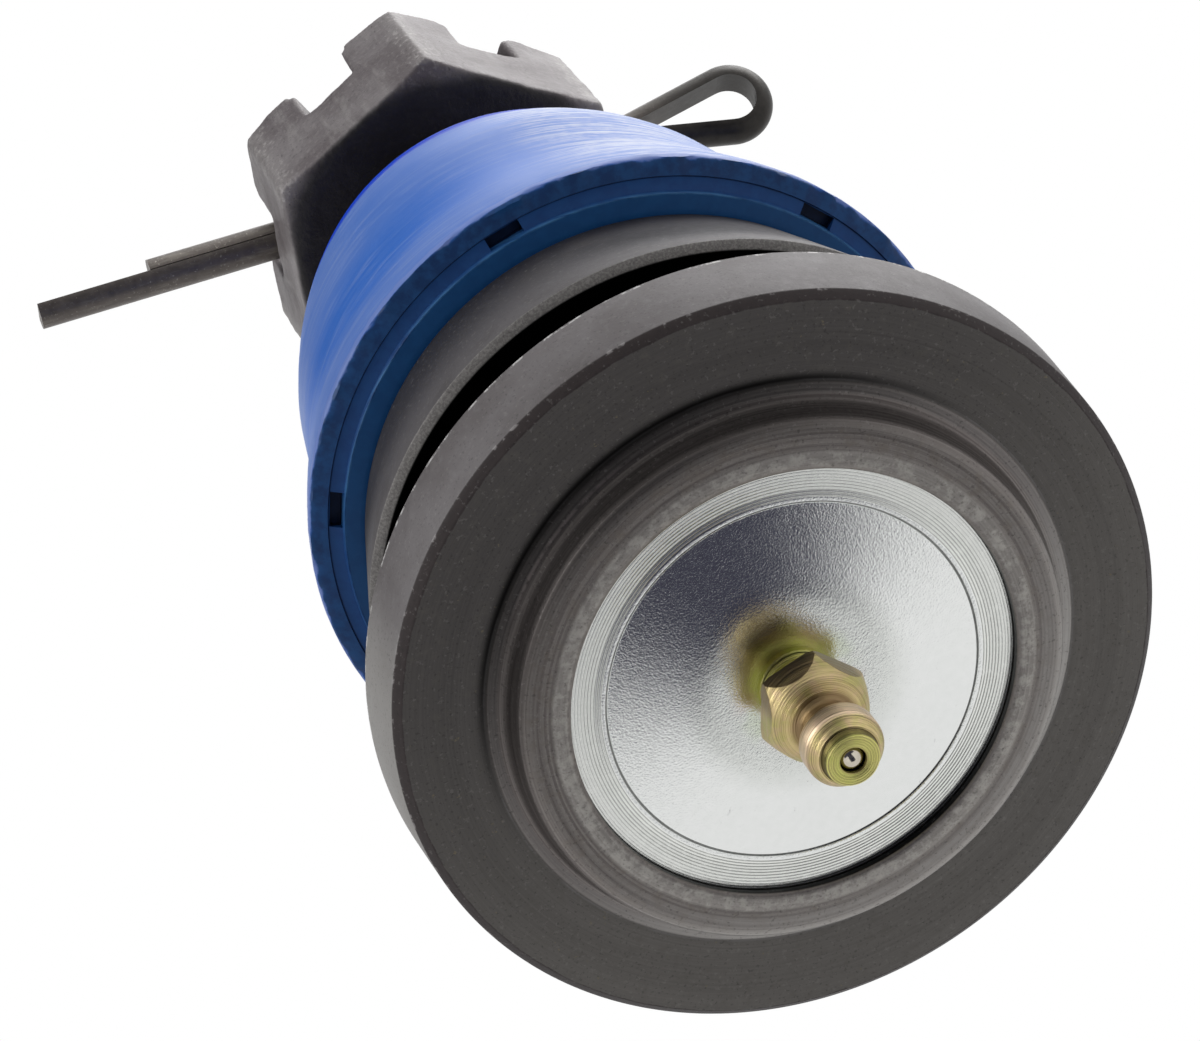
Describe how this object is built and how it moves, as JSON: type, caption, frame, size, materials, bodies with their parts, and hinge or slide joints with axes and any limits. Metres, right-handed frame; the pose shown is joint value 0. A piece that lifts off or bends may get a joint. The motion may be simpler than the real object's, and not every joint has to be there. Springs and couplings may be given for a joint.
{
  "type": "suspension ball joint",
  "caption": "Press-in suspension ball joint with a round flange, tapering dust boot, grease fitting, tapered ball stud, castle nut and cotter pin.",
  "frame": {"origin": "on the stud's axis, in the plane of the flange's seating face", "axes": "+Z along the stud towards the castle nut; +X along the cotter pin towards its eye"},
  "size_m": [0.0798, 0.0658, 0.1375],
  "materials": {
    "phosphated_steel": "dark phosphate on forged steel",
    "zinc_plate": "bright zinc plating, finely ringed at the rim",
    "yellow_zinc": "yellow zinc plating on turned steel",
    "bright_steel": "polished ball",
    "spring_steel": "plain spring steel",
    "sintered_bearing": "sintered steel, oiled",
    "stud_steel": "ground forged steel",
    "blue_polyurethane": "satin moulded polyurethane",
    "nut_steel": "dark phosphate, worn at the edges",
    "pin_steel": "blackened wire"
  },
  "bodies": {
    "housing": {"housing": "phosphated_steel", "cover_plate": "zinc_plate", "grease_fitting_body": "yellow_zinc", "grease_fitting_spring": "spring_steel", "preload_spring": "spring_steel"},
    "check_ball": {"grease_fitting_ball": "bright_steel"},
    "bearing": {"lower_bearing": "sintered_bearing", "upper_bearing": "sintered_bearing"},
    "boot": {"dust_boot": "blue_polyurethane"},
    "stud": {"ball_stud": "stud_steel", "castle_nut": "nut_steel"},
    "pin": {"cotter_pin": "pin_steel"}
  },
  "joints": [
    {"name": "check_ball_lift", "type": "slide", "parent": "housing", "child": "check_ball", "axis": [0, 0, 1], "range_m": [0, 0.001], "stiffness_N_per_m": 500, "springref_m": -0.001, "deforming": ["grease_fitting_spring"]},
    {"name": "swing_direction", "type": "hinge", "parent": "housing", "child": "bearing", "pos_m": [0, 0, 0.0125], "axis": [0, 0, 1], "continuous": true},
    {"name": "stud_swing", "type": "hinge", "parent": "bearing", "child": "boot", "pos_m": [0, 0, 0.0125], "axis": [1, 0, 0], "range_deg": [-20, 20], "deforming": ["dust_boot"]},
    {"name": "stud_spin", "type": "hinge", "parent": "boot", "child": "stud", "pos_m": [0, 0, 0.0125], "axis": [0, 0, 1], "continuous": true},
    {"name": "cotter_pin_pull", "type": "slide", "parent": "stud", "child": "pin", "axis": [0.9996, -0.0279, 0], "range_m": [0, 0.08]}
  ]
}
